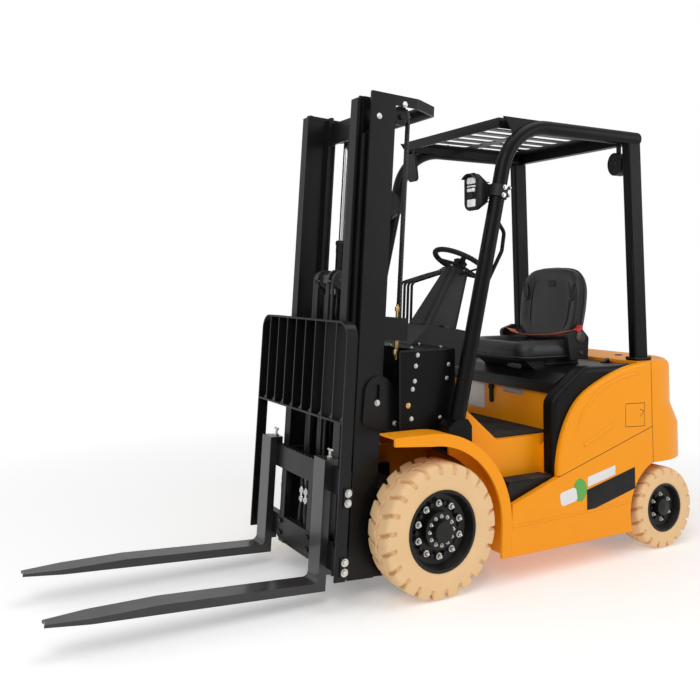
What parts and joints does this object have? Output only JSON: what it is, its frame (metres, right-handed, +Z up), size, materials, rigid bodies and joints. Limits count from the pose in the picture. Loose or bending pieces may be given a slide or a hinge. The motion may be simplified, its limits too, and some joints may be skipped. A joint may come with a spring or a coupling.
{
  "type": "electric counterbalance forklift truck",
  "caption": "Electric counterbalance forklift with a nested lifting mast, forks on a carriage, an open driver's place under an overhead guard and steered rear wheels.",
  "frame": {"origin": "on the floor at the middle of the truck's length and width", "axes": "+Z up, forks along -Y, +X to the truck's left"},
  "size_m": [1.068, 3.2052, 2.171],
  "materials": {
    "tyre": "non-marking solid rubber",
    "rim": "satin black",
    "casting": "painted black",
    "motor": "satin",
    "steel": "machined",
    "black_paint": "satin black",
    "chrome": "polished rod",
    "rubber": "ribbed",
    "battery": "grey box",
    "orange": "gloss orange",
    "orange_cast": "gloss orange over casting",
    "plastic": "grained",
    "seat": "vinyl",
    "belt": "webbing",
    "chain": "oiled",
    "fork_steel": "forged and painted"
  },
  "bodies": {
    "truck": {"drive_axle": "casting", "drive_motor": "motor", "steer_axle": "casting", "steer_cylinder": "black_paint", "chassis_frame": "orange", "fenders": "orange", "steps": "black_paint", "floor_mat": "rubber", "front_panel": "orange", "battery": "battery", "side_covers": "black_paint", "quarter_panels": "orange", "counterweight": "orange_cast", "tow_pin": "steel", "cowl": "plastic", "instrument_cover": "plastic", "steering_column": "plastic", "control_levers": "plastic", "pedals": "rubber", "overhead_guard": "black_paint", "roof_panel": "black_paint", "lamps": "plastic"},
    "hood": {"battery_hood": "black_paint", "seat_base": "plastic", "seat_cushion": "seat", "seat_back": "seat", "hip_restraint": "plastic", "seat_belt": "belt"},
    "hand_wheel": {"steering_wheel": "plastic"},
    "wheel_front_left": {"front_tyre_left": "tyre", "front_rim_left": "rim"},
    "wheel_front_right": {"front_tyre_right": "tyre", "front_rim_right": "rim"},
    "wheel_rear_left": {"rear_tyre_left": "tyre", "rear_rim_left": "rim"},
    "wheel_rear_right": {"rear_tyre_right": "tyre", "rear_rim_right": "rim"},
    "left_knuckle": {"knuckle_left": "steel"},
    "right_knuckle": {"knuckle_right": "steel"},
    "left_link": {"steer_link_left": "steel"},
    "right_link": {"steer_link_right": "steel"},
    "rack": {"steer_rod": "chrome"},
    "mast": {"mast_outer": "black_paint", "lift_barrels": "black_paint", "mast_chain_rear": "chain"},
    "middle_mast": {"mast_middle": "black_paint", "mast_chain_front": "chain"},
    "inner_mast": {"mast_inner": "black_paint", "free_lift_barrel": "black_paint", "carriage_chain_rear": "chain"},
    "free_ram": {"free_lift_ram": "steel", "carriage_chain_front": "chain"},
    "fork_carriage": {"carriage": "black_paint", "fork_left": "fork_steel", "fork_right": "fork_steel", "load_backrest": "black_paint"},
    "tilt_bases": {"tilt_barrels": "black_paint"},
    "tilt_ends": {"tilt_rods": "chrome"}
  },
  "joints": [
    {"name": "mast_tilt", "type": "hinge", "parent": "truck", "child": "mast", "pos_m": [0, -0.0505, 0.282], "axis": [1, 0, 0], "range_deg": [-2.6, 9.4]},
    {"name": "tilt_swing", "type": "hinge", "parent": "truck", "child": "tilt_bases", "pos_m": [0, 0.3415, 0.47], "axis": [1, 0, 0], "range_deg": [-1.86, 5.41]},
    {"name": "tilt_extend", "type": "slide", "parent": "tilt_bases", "child": "tilt_ends", "axis": [0, -0.9068, 0.4215], "range_m": [-0.0168, 0.0556]},
    {"name": "lift_middle", "type": "slide", "parent": "mast", "child": "middle_mast", "axis": [0, 0.0593, 0.9982], "range_m": [0, 1.35], "deforming": ["mast_chain_rear"]},
    {"name": "lift_inner", "type": "slide", "parent": "middle_mast", "child": "inner_mast", "axis": [0, 0.0593, 0.9982], "range_m": [0, 1.35], "deforming": ["mast_chain_front"]},
    {"name": "free_lift", "type": "slide", "parent": "inner_mast", "child": "free_ram", "axis": [0, 0.0593, 0.9982], "range_m": [0, 0.7], "deforming": ["carriage_chain_rear"]},
    {"name": "lift_carriage", "type": "slide", "parent": "free_ram", "child": "fork_carriage", "axis": [0, 0.0593, 0.9982], "range_m": [0, 0.7], "deforming": ["carriage_chain_front"]},
    {"name": "roll_front_left", "type": "hinge", "parent": "truck", "child": "wheel_front_left", "pos_m": [0.445, -0.0505, 0.282], "axis": [1, 0, 0], "continuous": true},
    {"name": "roll_front_right", "type": "hinge", "parent": "truck", "child": "wheel_front_right", "pos_m": [-0.445, -0.0505, 0.282], "axis": [1, 0, 0], "continuous": true},
    {"name": "steer_left", "type": "hinge", "parent": "truck", "child": "left_knuckle", "pos_m": [0.345, 1.3095, 0.198], "axis": [0, 0, 1], "range_deg": [-70, 70]},
    {"name": "steer_right", "type": "hinge", "parent": "truck", "child": "right_knuckle", "pos_m": [-0.345, 1.3095, 0.198], "axis": [0, 0, 1], "range_deg": [-70, 70]},
    {"name": "roll_rear_left", "type": "hinge", "parent": "left_knuckle", "child": "wheel_rear_left", "pos_m": [0.449, 1.3095, 0.198], "axis": [1, 0, 0], "continuous": true},
    {"name": "roll_rear_right", "type": "hinge", "parent": "right_knuckle", "child": "wheel_rear_right", "pos_m": [-0.449, 1.3095, 0.198], "axis": [1, 0, 0], "continuous": true},
    {"name": "rack_slide", "type": "slide", "parent": "truck", "child": "rack", "axis": [1, 0, 0], "range_m": [-0.0735, 0.0735]},
    {"name": "link_left", "type": "hinge", "parent": "left_knuckle", "child": "left_link", "pos_m": [0.33, 1.2255, 0.12], "axis": [0, 0, 1], "range_deg": [-88, 88]},
    {"name": "link_right", "type": "hinge", "parent": "right_knuckle", "child": "right_link", "pos_m": [-0.33, 1.2255, 0.12], "axis": [0, 0, 1], "range_deg": [-88, 88]},
    {"name": "turn_wheel", "type": "hinge", "parent": "truck", "child": "hand_wheel", "pos_m": [0, 0.43685, 1.42386], "axis": [0, 0.4839, 0.8751], "continuous": true},
    {"name": "hood_lift", "type": "hinge", "parent": "truck", "child": "hood", "pos_m": [0.32, 1.1445, 0.925], "axis": [-1, 0, 0], "range_deg": [0, 65]}
  ],
  "couplings": [
    {"joint": "tilt_swing", "follows": "mast_tilt", "ratio": 0.52271},
    {"joint": "tilt_extend", "follows": "mast_tilt", "m_per_rad": 0.32663},
    {"joint": "lift_inner", "follows": "lift_middle", "ratio": 1},
    {"joint": "lift_carriage", "follows": "free_lift", "ratio": 1},
    {"joint": "steer_right", "follows": "steer_left", "ratio": 1},
    {"joint": "rack_slide", "follows": "steer_left", "m_per_rad": 0.06},
    {"joint": "link_left", "follows": "steer_left", "ratio": -1.25},
    {"joint": "link_right", "follows": "steer_left", "ratio": -1.25}
  ]
}
